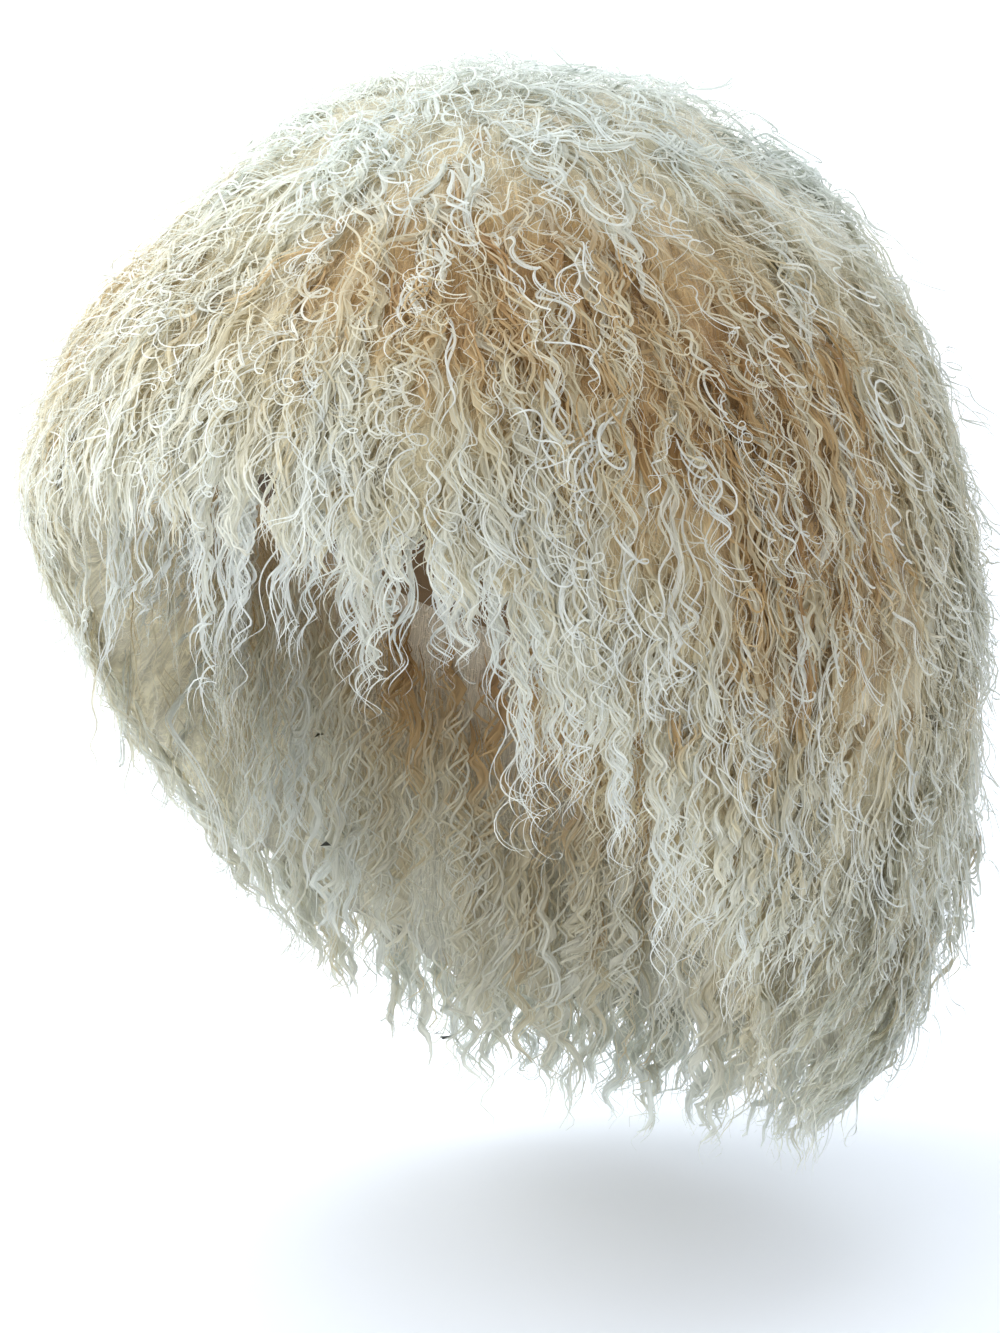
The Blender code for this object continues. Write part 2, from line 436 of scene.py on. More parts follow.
class Curler:
    """Turns bundles into paths: fibres leave the fleece, follow it down and wave as they go."""

    def __init__(self, fleece: Fleece) -> None:
        """Takes the form to lay fibres on."""
        self.fleece = fleece

    def base(self, fibres: Bundle, along: np.ndarray) -> tuple[np.ndarray, ...]:
        """The surface that fibres follow, at lengths along each.

        On a flat map of the fleece, with the crown's middle at its centre, each goes straight on.

        Args:
            fibres: What to lay.
            along: Lengths from the roots, (fibres, points).

        Returns:
            Positions, outward normals, directions along the fibres and directions across them.
        """
        heading = fibres.heading[:, None]
        away = fibres.run[:, None] + along * np.cos(heading)
        across = along * np.sin(heading)
        turn = np.arctan2(across, away)
        azimuth = fibres.azimuth[:, None] + turn
        position, normal, down, side = self.fleece.frame(azimuth, np.hypot(away, across))
        cosine, sine = np.cos(heading - turn)[..., None], np.sin(heading - turn)[..., None]
        return position, normal, down * cosine + side * sine, side * cosine - down * sine

    def paths(self, fibres: Bundle, points: int) -> tuple[np.ndarray, np.ndarray]:
        """Lays fibres over the fleece.

        Args:
            fibres: What to lay.
            points: How many points each path has.

        Returns:
            Positions and outward normals, each of shape (fibres, points, 3).
        """
        t = np.linspace(0, 1, points)[None, :]

        def column(values: np.ndarray) -> np.ndarray:
            """One value for each fibre, set against many points."""
            return values[:, None]

        along = column(fibres.length) * t
        position, normal, down, side = self.base(fibres, along)
        turns = TURN * along / column(fibres.period)
        phase = column(fibres.phase)
        # No two waves are quite alike: they come early or late, and swing wide or narrow
        angle = turns + phase + 0.6 * np.sin(turns / 2.7 + 2.1 * phase)
        grown = smooth(0.0, 0.30, t) * (0.65 + 0.35 * t)
        swing = column(fibres.amplitude) * grown * (0.75 + 0.25 * np.sin(turns / 3.4 + 3.3 * phase))
        # A looping fibre only waves a little before its onset, and then curls right round
        late = smooth(0.0, 0.25, t - column(fibres.onset))
        swing = swing * (1 - 0.45 * (1 - late) * (column(fibres.loop) > 0))
        ahead = swing * late * column(fibres.loop) * np.cos(angle)
        # The fibres of a lock draw together towards its tip
        gathered = 1 + (column(fibres.gather) - 1) * smooth(0.1, 0.95, t)
        aside = column(fibres.aside) * gathered + column(fibres.drift) * t**1.5
        aside = aside + swing * np.sin(angle)
        # From its sunken root a fibre comes out to the surface, and its tip lifts off it
        sunk, rise = column(fibres.sunk), column(fibres.rise)
        out = -sunk + (sunk + rise) * smooth(0, 0.25, t)
        out = out + column(fibres.lift) * smooth(0.45, 1.0, t) + column(fibres.ahead) * gathered
        out = out + swing * column(fibres.depth_share) * np.cos(angle)
        hanging = position[:, :1] + along[..., None] * np.array([0.0, 0.0, -1.0])
        plumb = column(fibres.plumb)[..., None]
        position = position * (1 - plumb) + hanging * plumb
        path = position + side * aside[..., None] + normal * out[..., None]
        return path + down * ahead[..., None], normal


class InnerCurler(Curler):
    """Lays fibres on the inside of the hanging fleece, from the hide's rim down to the hem."""

    inset = 0.010

    def ends(self, azimuth: np.ndarray) -> tuple[np.ndarray, np.ndarray]:
        """Where the inside begins and ends.

        Args:
            azimuth: Directions in radians.

        Returns:
            Points at the hide's rim and points at the hem.
        """
        reach = oval_reach(azimuth, HEAD_HALF_WIDTH, HEAD_HALF_DEPTH) + HIDE_WALL
        rim = ring_at(azimuth, reach, rim_height(azimuth) + ROOM_AT_RIM)
        hem, normal, _, _ = self.fleece.frame(azimuth, self.fleece.run_of(HEM, azimuth))
        return rim, hem - normal * self.inset

    def base(self, fibres: Bundle, along: np.ndarray) -> tuple[np.ndarray, ...]:
        """The inside surface, at lengths along each fibre.

        Args:
            fibres: What to lay.
            along: Lengths from the roots, (fibres, points).

        Returns:
            As for the outside, with normals that point into the hat.
        """
        rim, hem = (end[:, None] for end in self.ends(fibres.azimuth))
        length = np.linalg.norm(hem - rim, axis=-1, keepdims=True)
        down = np.broadcast_to((hem - rim) / length, (*along.shape, 3))
        position = rim + down * (fibres.run[:, None] + along)[..., None]
        sine, cosine = np.sin(fibres.azimuth), np.cos(fibres.azimuth)
        side = np.stack([cosine, sine, np.zeros_like(sine)], axis=-1)[:, None]
        side = np.broadcast_to(side, down.shape)
        return position, np.cross(side, down), down, side


class UnderCurler(Curler):
    """Hangs fibres plumb from the underside of the fleece's body.

    A fibre's run is its place there, from 0 at the hide's rim to 1 at the body's outer end.
    """

    inset = 0.008

    def start(self, fibres: Bundle) -> np.ndarray:
        """Where each fibre leaves the underside.

        Args:
            fibres: What to hang.

        Returns:
            One point for each fibre.
        """
        azimuth = fibres.azimuth
        reach = oval_reach(azimuth, HEAD_HALF_WIDTH, HEAD_HALF_DEPTH) + HIDE_WALL
        rim = ring_at(azimuth, reach, rim_height(azimuth) + ROOM_AT_RIM)
        end, normal, _, _ = self.fleece.frame(azimuth, self.fleece.end_of(BODY_END, azimuth))
        outer = end - normal * self.inset
        return rim + (outer - rim) * np.clip(fibres.run, 0, 1)[:, None]

    def base(self, fibres: Bundle, along: np.ndarray) -> tuple[np.ndarray, ...]:
        """Straight lines down from the underside, at lengths along each fibre.

        Args:
            fibres: What to hang.
            along: Lengths from the roots, (fibres, points).

        Returns:
            As for the outside, with level normals that point into the hat.
        """
        down = np.broadcast_to([0.0, 0.0, -1.0], (*along.shape, 3))
        sine, cosine = np.sin(fibres.azimuth), np.cos(fibres.azimuth)
        side = np.stack([cosine, sine, np.zeros_like(sine)], axis=-1)[:, None]
        side = np.broadcast_to(side, down.shape)
        position = self.start(fibres)[:, None] + down * along[..., None]
        return position, np.cross(side, down), down, side


def add_object(name: str, data: bpy.types.ID) -> bpy.types.Object:
    """Puts a mesh, a lamp or a camera into the scene.

    Args:
        name: What the object is called.
        data: What it shows.

    Returns:
        The new object.
    """
    thing = bpy.data.objects.new(name, data)
    bpy.context.scene.collection.objects.link(thing)
    return thing


def write_wool(mesh: bpy.types.Mesh, colours: np.ndarray, places: np.ndarray) -> None:
    """Writes what the wool's materials read: a colour and a fibre place for each point.

    Args:
        mesh: The mesh, with its points.
        colours: Linear colours, (points, 3).
        places: Across, along and which fibre, (points, 3).
    """
    rgba = np.concatenate([colours, np.ones((len(colours), 1))], axis=1)
    tint = mesh.color_attributes.new("wool_tint", "FLOAT_COLOR", "POINT")
    tint.data.foreach_set("color", rgba.astype(np.float32).ravel())
    place = mesh.attributes.new("fibre_place", "FLOAT_VECTOR", "POINT")
    place.data.foreach_set("vector", places.astype(np.float32).ravel())


@dataclass
class MeshMaker:
    """Collects strips and builds one mesh from them, with a colour and a fibre place per point."""

    name: str
    points: list[np.ndarray] = field(default_factory=list)
    quads: list[np.ndarray] = field(default_factory=list)
    colours: list[np.ndarray] = field(default_factory=list)
    normals: list[np.ndarray] = field(default_factory=list)
    places: list[np.ndarray] = field(default_factory=list)
    atlas: list[tuple[int, int, int]] = field(default_factory=list)
    count: int = 0

    def add_strips(
        self,
        path: np.ndarray,
        normal: np.ndarray,
        width: np.ndarray,
        roll: np.ndarray,
        colour: np.ndarray,
        softness: float = 0.65,
        fray: float = 0.0,
    ) -> None:
        """Adds one tapering strip for each path, shaded as if it were round.

        Args:
            path: Centre lines, (strips, points, 3).
            normal: Which way each strip faces, of the same shape.
            width: Full width of each strip in metres.
            roll: How far each strip is turned about its own line, in radians.
            colour: Linear colours, (strips, points, 3).
            softness: How far the shading leans to the fleece's own, from 0 to 1.
            fray: How unevenly wide a strip is along its length, as a share of its width.
        """
        strips, points = path.shape[:2]
        tangent = np.gradient(path, axis=1)
        tangent /= np.maximum(np.linalg.norm(tangent, axis=-1, keepdims=True), 1e-9)
        sideways = np.cross(tangent, normal)
        sideways /= np.maximum(np.linalg.norm(sideways, axis=-1, keepdims=True), 1e-9)
        facing = np.cross(sideways, tangent)
        roll = roll[:, None, None]
        sideways, facing = (
            sideways * np.cos(roll) + facing * np.sin(roll),
            facing * np.cos(roll) - sideways * np.sin(roll),
        )
        t = np.linspace(0, 1, points)
        taper = np.minimum(1, 0.06 + 3.2 * t) * (1 - 0.88 * t**3.5)
        half = (width[:, None] * taper / 2)[..., None]
        share = np.array([-1.0, 1.0])
        across = len(share)
        step = np.arange(points)[:, None]
        strip = np.arange(strips)[:, None, None] * 2.4
        ragged = np.sin(2.3 * step + 1.9 * share + strip)
        ragged = ragged + np.sin(1.3 * step - 2.7 * share + 1.7 * strip)
        ragged = 1 + 0.5 * fray * ragged[..., None]
        corners = np.stack(
            [path + sideways * half * s * ragged[:, :, i] for i, s in enumerate(share)], axis=2
        )
        grid = np.arange(strips * points * across).reshape(strips, points, across) + self.count
        quads = np.stack(
            [grid[:, :-1, :-1], grid[:, :-1, 1:], grid[:, 1:, 1:], grid[:, 1:, :-1]], axis=-1
        )
        length = np.linalg.norm(np.diff(path, axis=1), axis=-1).cumsum(axis=1)
        length = np.concatenate([np.zeros((strips, 1)), length], axis=1)
        place = np.empty((strips, points, across, 3))
        place[..., 0] = share * half
        place[..., 1] = length[..., None]
        place[..., 2] = (np.arange(strips) * 0.37 % 7.0)[:, None, None]
        own = np.stack([facing + sideways * s * 0.9 for s in share], axis=2)
        own /= np.linalg.norm(own, axis=-1, keepdims=True)
        shaded = own * (1 - softness) + normal[:, :, None] * softness
        shaded /= np.maximum(np.linalg.norm(shaded, axis=-1, keepdims=True), 1e-9)
        self.normals.append(shaded.reshape(-1, 3))
        self.points.append(corners.reshape(-1, 3))
        self.quads.append(quads.reshape(-1, 4))
        self.colours.append(np.repeat(colour[:, :, None], across, axis=2).reshape(-1, 3))
        self.places.append(place.reshape(-1, 3))
        self.atlas.append((strips, points, across))
        self.count += strips * points * across

    def atlas_corners(self) -> np.ndarray:
        """A flat layout of the strips: each is an upright slip in one square."""
        strips = sum(entry[0] for entry in self.atlas)
        rows = max(1, round(math.sqrt(strips / 8)))
        columns = math.ceil(strips / rows)
        layout, index = [], 0
        for count, points, across in self.atlas:
            number = np.arange(index, index + count)
            low = np.stack([(number % columns) / columns, (number // columns) / rows], axis=-1)
            u = 0.12 + 0.76 * np.linspace(0, 1, across)
            v = 0.02 + 0.96 * np.linspace(0, 1, points)
            cell = np.empty((count, points, across, 2))
            cell[..., 0] = low[:, 0, None, None] + u / columns
            cell[..., 1] = low[:, 1, None, None] + v[:, None] / rows
            layout.append(cell.reshape(-1, 2))
            index += count
        return np.concatenate(layout)

    def build(self, material: bpy.types.Material) -> bpy.types.Object:
        """Makes the object.

        Args:
            material: What it is made of.

        Returns:
            The new object, linked to the scene.
        """
        points, quads = np.concatenate(self.points), np.concatenate(self.quads)
        mesh = bpy.data.meshes.new(self.name)
        mesh.vertices.add(len(points))
        mesh.vertices.foreach_set("co", points.astype(np.float32).ravel())
        mesh.loops.add(quads.size)
        mesh.loops.foreach_set("vertex_index", quads.astype(np.int32).ravel())
        mesh.polygons.add(len(quads))
        mesh.polygons.foreach_set("loop_start", np.arange(0, quads.size, 4, dtype=np.int32))
        mesh.update(calc_edges=True)
        mesh.shade_smooth()
        write_wool(mesh, np.concatenate(self.colours), np.concatenate(self.places))
        layer = mesh.uv_layers.new(name="OFBake")
        corners = self.atlas_corners()[quads.ravel()]
        layer.data.foreach_set("uv", corners.astype(np.float32).ravel())
        mesh.normals_split_custom_set_from_vertices(np.concatenate(self.normals).tolist())
        mesh.materials.append(material)
        return add_object(self.name, mesh)


def add_node(
    tree: bpy.types.NodeTree,
    kind: str,
    settings: dict[str, object] | None = None,
    inputs: dict[str | int, object] | None = None,
) -> bpy.types.Node:
    """Adds a node with its settings, values and links.

    Args:
        tree: The node tree.
        kind: The node's type name.
        settings: Properties to set on the node.
        inputs: Values for its inputs, or output sockets to link to them.

    Returns:
        The new node.
    """
    node = tree.nodes.new(kind)
    for name, value in (settings or {}).items():
        setattr(node, name, value)
    for name, value in (inputs or {}).items():
        socket = node.inputs[name]
        if isinstance(value, bpy.types.NodeSocket):
            tree.links.new(value, socket)
        elif socket.type == "RGBA" and len(value) == 3:
            socket.default_value = (*value, 1.0)
        else:
            socket.default_value = value
    return node


def new_material(name: str) -> tuple[bpy.types.Material, bpy.types.NodeTree]:
    """An empty node material with only its output."""
    material = bpy.data.materials.new(name)
    material.use_nodes = True
    tree = material.node_tree
    tree.nodes.clear()
    return material, tree


@dataclass(frozen=True)
class LockWool:
    """Long scoured sheep's wool, undyed: crimped staples of fine shiny fibres.

    Fine lines run along each staple, and thin fibres let a little light through.
    """

    name: str = "undyed_long_wool"
    line_scale: float = 750.0
    contrast: float = 0.27
    roughness: float = 0.5
    translucence: float = 0.40

    def build(self) -> bpy.types.Material:
        """Builds the node material."""
        material, tree = new_material(self.name)
        tint = add_node(tree, "ShaderNodeAttribute", {"attribute_name": "wool_tint"})
        place = add_node(tree, "ShaderNodeAttribute", {"attribute_name": "fibre_place"})
        stretched = add_node(
            tree, "ShaderNodeVectorMath", {"operation": "MULTIPLY"},
            {0: place.outputs["Vector"], 1: (self.line_scale, 70.0, 11.0)},
        )
        lines = add_node(
            tree, "ShaderNodeTexNoise", None,
            {"Vector": stretched.outputs[0], "Scale": 1.0, "Detail": 2.0, "Roughness": 0.75},
        )
        shade = add_node(
            tree, "ShaderNodeMapRange", None,
            {"Value": lines.outputs["Fac"], "From Min": 0.3, "From Max": 0.7,
             "To Min": 1.0 - self.contrast, "To Max": 1.0 + self.contrast * 0.3},
        )
        lined = add_node(
            tree, "ShaderNodeVectorMath", {"operation": "SCALE"},
            {0: tint.outputs["Color"], "Scale": shade.outputs[0]},
        )
        surface = add_node(
            tree, "ShaderNodeBsdfPrincipled", None,
            {"Base Color": lined.outputs[0], "Roughness": self.roughness,
             "Specular IOR Level": 0.4},
        )
        through = add_node(tree, "ShaderNodeBsdfTranslucent", None, {"Color": lined.outputs[0]})
        both = add_node(
            tree, "ShaderNodeMixShader", None,
            {"Fac": self.translucence, 1: surface.outputs[0], 2: through.outputs[0]},
        )
        add_node(tree, "ShaderNodeOutputMaterial", None, {"Surface": both.outputs[0]})
        return material


@dataclass(frozen=True)
class UnderWool:
    """The matted inner wool of the same fleece, stained by lanolin.

    Fine crimped hairs run down it, and frizz crosses them.
    """

    name: str = "matted_under_wool"
    hair_scale: tuple[float, float, float] = (1300.0, 80.0, 1.0)
    crimp: float = 0.010
    roughness: float = 0.85

    def curly_lines(
        self, tree: bpy.types.NodeTree, place: bpy.types.NodeSocket, scale: float
    ) -> bpy.types.NodeSocket:
        """Thin curling lines, like single hairs on the surface.

        Args:
            tree: The material's nodes.
            place: Where on the wool a point is.
            scale: How close together the lines are.

        Returns:
            A value of 1 on a line and 0 off it.
        """
        noise = add_node(
            tree, "ShaderNodeTexNoise", None,
            {"Vector": place, "Scale": scale, "Detail": 1.5, "Roughness": 0.5, "Distortion": 0.6},
        )
        middle = add_node(
            tree, "ShaderNodeMath", {"operation": "SUBTRACT"}, {0: noise.outputs["Fac"], 1: 0.5}
        )
        away = add_node(tree, "ShaderNodeMath", {"operation": "ABSOLUTE"}, {0: middle.outputs[0]})
        line = add_node(
            tree, "ShaderNodeMapRange", None,
            {"Value": away.outputs[0], "From Min": 0.0, "From Max": 0.035,
             "To Min": 1.0, "To Max": 0.0},
        )
        return line.outputs[0]

    def build(self) -> bpy.types.Material:
        """Builds the node material."""
        material, tree = new_material(self.name)
        tint = add_node(tree, "ShaderNodeAttribute", {"attribute_name": "wool_tint"})
        place = add_node(tree, "ShaderNodeAttribute", {"attribute_name": "fibre_place"})
        solid = add_node(tree, "ShaderNodeTexCoord")
        slow = add_node(
            tree, "ShaderNodeVectorMath", {"operation": "MULTIPLY"},
            {0: place.outputs["Vector"], 1: (35.0, 60.0, 1.0)},
        )
        sway = add_node(
            tree, "ShaderNodeTexNoise", None,
            {"Vector": slow.outputs[0], "Scale": 1.0, "Detail": 1.0},
        )
        swayed = add_node(
            tree, "ShaderNodeVectorMath", {"operation": "MULTIPLY_ADD"},
            {0: sway.outputs["Color"], 1: (self.crimp, 0.0, 0.0), 2: place.outputs["Vector"]},
        )
        stretched = add_node(
            tree, "ShaderNodeVectorMath", {"operation": "MULTIPLY"},
            {0: swayed.outputs[0], 1: self.hair_scale},
        )
        hairs = add_node(
            tree, "ShaderNodeTexNoise", None,
            {"Vector": stretched.outputs[0], "Scale": 1.0, "Detail": 3.0, "Roughness": 0.6},
        )
        frizz = self.curly_lines(tree, solid.outputs["Object"], 210.0)
        crimps = self.curly_lines(tree, stretched.outputs[0], 0.22)
        curls = add_node(tree, "ShaderNodeMath", {"operation": "MAXIMUM"}, {0: frizz, 1: crimps})
        both = add_node(
            tree, "ShaderNodeMath", {"operation": "MULTIPLY_ADD"},
            {0: curls.outputs[0], 1: 0.25, 2: hairs.outputs["Fac"]},
        )
        shade = add_node(
            tree, "ShaderNodeMapRange", None,
            {"Value": both.outputs[0], "From Min": 0.35, "From Max": 0.80,
             "To Min": 0.66, "To Max": 1.10},
        )
        frizzed = add_node(
            tree, "ShaderNodeVectorMath", {"operation": "SCALE"},
            {0: tint.outputs["Color"], "Scale": shade.outputs[0]},
        )
        bump = add_node(
            tree, "ShaderNodeBump", None,
            {"Height": both.outputs[0], "Strength": 0.7, "Distance": 0.0012},
        )
        surface = add_node(
            tree, "ShaderNodeBsdfPrincipled", None,
            {"Base Color": frizzed.outputs[0], "Roughness": self.roughness,
             "Specular IOR Level": 0.2, "Sheen Weight": 0.4, "Normal": bump.outputs[0]},
        )
        add_node(tree, "ShaderNodeOutputMaterial", None, {"Surface": surface.outputs[0]})
        return material


@dataclass(frozen=True)
class SuedeHide:
    """Tanned sheepskin, its buffed flesh side: a short nap with pores, veins and soft blotches."""

    name: str = "tanned_sheepskin_suede"
    # Dark browns: partly the suede's own colour, partly painted shade for the inside of the hat
    pale: tuple[float, float, float] = linear("8F7657")
    dark: tuple[float, float, float] = linear("6A5238")

    def build(self) -> bpy.types.Material:
        """Builds the node material."""
        material, tree = new_material(self.name)
        place = add_node(tree, "ShaderNodeTexCoord")
        blotch = add_node(
            tree, "ShaderNodeTexNoise", None,
            {"Vector": place.outputs["Object"], "Scale": 38.0, "Detail": 4.0, "Roughness": 0.6},
        )
        nap = add_node(
            tree, "ShaderNodeTexNoise", None,
            {"Vector": place.outputs["Object"], "Scale": 1400.0, "Detail": 3.0},
        )
        colour = add_node(
            tree, "ShaderNodeMix", {"data_type": "RGBA"},
            {0: blotch.outputs["Fac"], 6: self.dark, 7: self.pale},
        )
        bump = add_node(
            tree, "ShaderNodeBump", None,
            {"Height": nap.outputs["Fac"], "Strength": 0.5, "Distance": 0.0003},
        )
        surface = add_node(
            tree, "ShaderNodeBsdfPrincipled", None,
            {"Base Color": colour.outputs[2], "Roughness": 0.9, "Sheen Weight": 0.3,
             "Specular IOR Level": 0.2, "Normal": bump.outputs[0]},
        )
        add_node(tree, "ShaderNodeOutputMaterial", None, {"Surface": surface.outputs[0]})
        return material


class Layer(Enum):
    """How deep in the fleece fibres lie, and how pale they are."""

    UNDER = 0.68
    OUTER = 0.90


@dataclass(frozen=True)
class LockKind:
    """One kind of lock: its size, its curl and how many fibres it shows."""

    name: str
    layer: Layer
    fibres: int
    points: int
    length: tuple[float, float]
    radius: float
    width: tuple[float, float]
    period: tuple[float, float]
    amplitude: tuple[float, float]
    rise: tuple[float, float]
    lift: tuple[float, float]
    loop: float
    stray: float = 0.06
    core_width: float = 0.0
    unison: float = 0.28
    strays: float = 0.18


class Wool:
    """Grows locks and fuzz all over the fleece and sorts them into pieces."""

    candidates = 12

    def __init__(self, fleece: Fleece, seed: int) -> None:
        """Draws the slow changes that all locks share.

        Args:
            fleece: The form that the wool grows on.
            seed: Which hat of its kind this is.
        """
        self.fleece = fleece
        self.curler = Curler(fleece)
        self.dye = Dye()
        self.chance = np.random.RandomState(seed)
        self.flow = Unevenness(self.chance, 0.070)
        self.crimp = Unevenness(self.chance, 0.110)
        self.lump = Unevenness(self.chance, 0.045)
        self.cast = Unevenness(self.chance, 0.040)

    def roots(
        self, count: int, low: float, high: float, turn: tuple[float, float]
    ) -> tuple[np.ndarray, np.ndarray]:
        """Spreads roots evenly over the surface, without gaps or rows.

        Args:
            count: How many.
            low: Where they begin, as a share of the run to the end of the fleece's body.
            high: Where they end, as such a share.
            turn: First and last azimuth in degrees.

        Returns:
            Azimuths and runs.
        """
        number = np.arange(self.candidates * count)[:, None]
        spread = (self.chance.uniform(0, 1, 3) + number * np.array(EVEN_STEPS)) % 1.0
        azimuth = np.radians(turn[0] + (turn[1] - turn[0]) * spread[:, 0])
        run = (low + (high - low) * spread[:, 1]) * self.fleece.end_of(BODY_END, azimuth)
        reach = self.fleece.read(self.fleece.reach, azimuth, run)
        kept = np.flatnonzero(spread[:, 2] * NAPE_REACH < reach + 0.01)[:count]
        return azimuth[kept], run[kept]

    @staticmethod
    def broadness(azimuth: np.ndarray) -> np.ndarray:
        """How much broader locks are than at the brow: the coarser wool lies at the nape."""
        return 1 + 0.6 * smooth(60.0, 140.0, turn_from_brow(azimuth))

    @staticmethod
    def crownward(run: np.ndarray) -> np.ndarray:
        """1 on the crown and 0 on the sides."""
        return 1 - smooth(0.03, 0.13, run)

    def guides(self, kind: LockKind, azimuth: np.ndarray, run: np.ndarray) -> Bundle:
        """Makes one guide fibre for each lock.

        Args:
            kind: What kind of lock.
            azimuth: Directions of the roots in radians.
            run: Runs of the roots in metres.

        Returns:
            The guides.
        """
        chance, count = self.chance, len(azimuth)
        uniform = chance.uniform
        position = self.fleece.frame(azimuth, run)[0]
        crown = self.crownward(run)
        broad = self.broadness(azimuth)
        heading = chance.normal(0, 1, count) * (kind.stray + 1.3 * crown)
        heading = heading + 0.20 * self.flow.at(position)
        length = uniform(*kind.length, count) * (1 - 0.35 * crown) * (0.75 + 0.25 * broad)
        room = self.fleece.end_of(LOCKS_END, azimuth) + uniform(-0.012, 0.012, count) - run
        length = np.maximum(np.minimum(length, room), 0.022)
        return Bundle(
            azimuth=azimuth,
            run=run,
            heading=heading,
            length=length,
            sunk=np.full(count, 0.012),
            rise=uniform(*kind.rise, count) + 0.0012 * self.lump.at(position),
            lift=uniform(*kind.lift, count) * (1 - 0.38 * crown),
            drift=chance.normal(0, 0.005, count),
            period=uniform(*kind.period, count),
            amplitude=uniform(*kind.amplitude, count) * (0.6 + 0.4 * broad),
            depth_share=uniform(0.2, 0.7, count),
            phase=2.4 * self.crimp.at(position) + chance.normal(0, 0.8, count),
            loop=np.where(uniform(0, 1, count) < kind.loop, uniform(0.9, 1.25, count), 0.0),
            onset=uniform(0.15, 0.55, count),
            aside=np.zeros(count),
            ahead=np.zeros(count),
            gather=uniform(0.25, 0.6, count),
            width=uniform(*kind.width, count),
            roll=chance.normal(0, 0.25, count),
            shade=chance.normal(0, 0.06, count) + 0.05 * self.cast.at(position) + kind.layer.value,
            stained=np.where(
                uniform(0, 1, count) < 0.45, uniform(0.0, 0.35, count), uniform(0.6, 1.3, count)
            ),
            cool_white_share=np.ones(count),
            plumb=np.zeros(count),
        )

    def bundled(self, kind: LockKind, guides: Bundle) -> Bundle:
        """Sets fibres round each guide: they wave together, and some stray.

        Args:
            kind: What kind of lock.
            guides: One guide for each lock.

        Returns:
            All the fibres.
        """
        chance = self.chance
        fibres = guides.chosen(np.repeat(np.arange(len(guides)), kind.fibres))
        count = len(fibres)
        turn, out = chance.uniform(0, TURN, count), np.sqrt(chance.uniform(0, 1, count))
        broad = self.broadness(fibres.azimuth)
        fibres.aside = kind.radius * out * np.cos(turn) * broad
        fibres.ahead = 0.5 * kind.radius * out * np.sin(turn)
        stray = chance.uniform(0, 1, count) < kind.strays
        spread = np.where(stray, 1.2, kind.unison)
        fibres.phase = fibres.phase + chance.normal(0, 1, count) * spread
        fibres.amplitude = fibres.amplitude * np.exp(chance.normal(0, 0.18, count))
        fibres.amplitude = fibres.amplitude * np.where(stray, 1.35, 1.0)
        fibres.period = fibres.period * np.exp(chance.normal(0, 0.035, count))
        fibres.length = fibres.length * chance.uniform(0.80, 1.06, count)
        fibres.run = fibres.run + chance.uniform(-0.004, 0.004, count)
        fibres.drift = fibres.drift + chance.normal(0, 1, count) * np.where(stray, 0.006, 0.0012)
        fibres.lift = fibres.lift + chance.normal(0, 1, count) * np.where(stray, 0.003, 0.0008)
        fibres.width = chance.uniform(*kind.width, count) * (0.5 + 0.5 * broad)
        fibres.roll = chance.normal(0, 0.5, count)
        fibres.shade = fibres.shade + chance.normal(0, 0.06, count)
        return fibres

    def colours(self, fibres: Bundle, path: np.ndarray) -> np.ndarray:
        """Colours along each fibre: stained at its root, faded at its tip, with painted shade on
        the sides and back and painted light on the top and low down.

        Args:
            fibres: The fibres.
            path: Their centre lines, (fibres, points, 3).

        Returns:
            Linear colours of the same shape.
        """
        t = np.linspace(0, 1, path.shape[1])[None, :]
        warm = self.dye.stain(fibres.azimuth[:, None], path[..., 2]) * fibres.stained[:, None]
        turn = turn_from_brow(fibres.azimuth - math.radians(10.0))[:, None]
        share = fibres.shade[:, None] - 0.40 * warm + 0.18 * smooth(0.1, 0.8, t) - 0.12 * (1 - t)
        # Painted shade: darker away from the brow, on the sides and the back. Painted light:
        # lighter on the top.
        share = share - 0.06 * smooth(40.0, 110.0, turn) + 0.05 * smooth(0.0, 0.06, path[..., 2])
        # Painted light: lighter low on the skirt, where it lies in shade
        share = share + 0.07 * smooth(0.13, 0.25, -path[..., 2])
        colour = self.dye.blend(share)
        # Painted light: mixed toward cool white on the top; a cooler tone on the sides and back.
        # Stains and darker fibres take less.
        grey = 0.42 * smooth(70.0, 140.0, turn) + 0.75 * smooth(-0.01, 0.055, path[..., 2])
        grey = (grey - 0.3 * warm) * (smooth(0.3, 0.6, fibres.shade) * fibres.cool_white_share)[:, None]
        return self.dye.greyed(colour, np.clip(grey, 0, 0.8))

    def lay(
        self, maker: MeshMaker, kind: LockKind, guides: Bundle, curler: Curler | None = None
    ) -> None:
        """Adds locks to a piece: a broad core, where the kind has one, under single fibres.

        Args:
            maker: The piece.
            kind: What kind of lock.
            guides: One guide for each lock.
            curler: What lays them, if not the outside's own.
        """
        curler = curler or self.curler
        if kind.core_width:
            core = guides.chosen(np.arange(len(guides)))
            core.length = core.length * 0.9
            core.width = kind.core_width * self.chance.uniform(0.6, 1.25, len(core))
            core.width = core.width * self.broadness(core.azimuth)
            core.width = core.width * (1 - 0.45 * self.crownward(core.run))
            core.rise = core.rise - 0.0015
            core.shade = core.shade - 0.05
            path, normal = curler.paths(core, round(0.8 * kind.points))
            colour = self.colours(core, path)
            maker.add_strips(path, normal, core.width, core.roll, colour, 0.75, 0.45)
        fibres = self.bundled(kind, guides)
        path, normal = curler.paths(fibres, kind.points)
        maker.add_strips(path, normal, fibres.width, fibres.roll, self.colours(fibres, path))


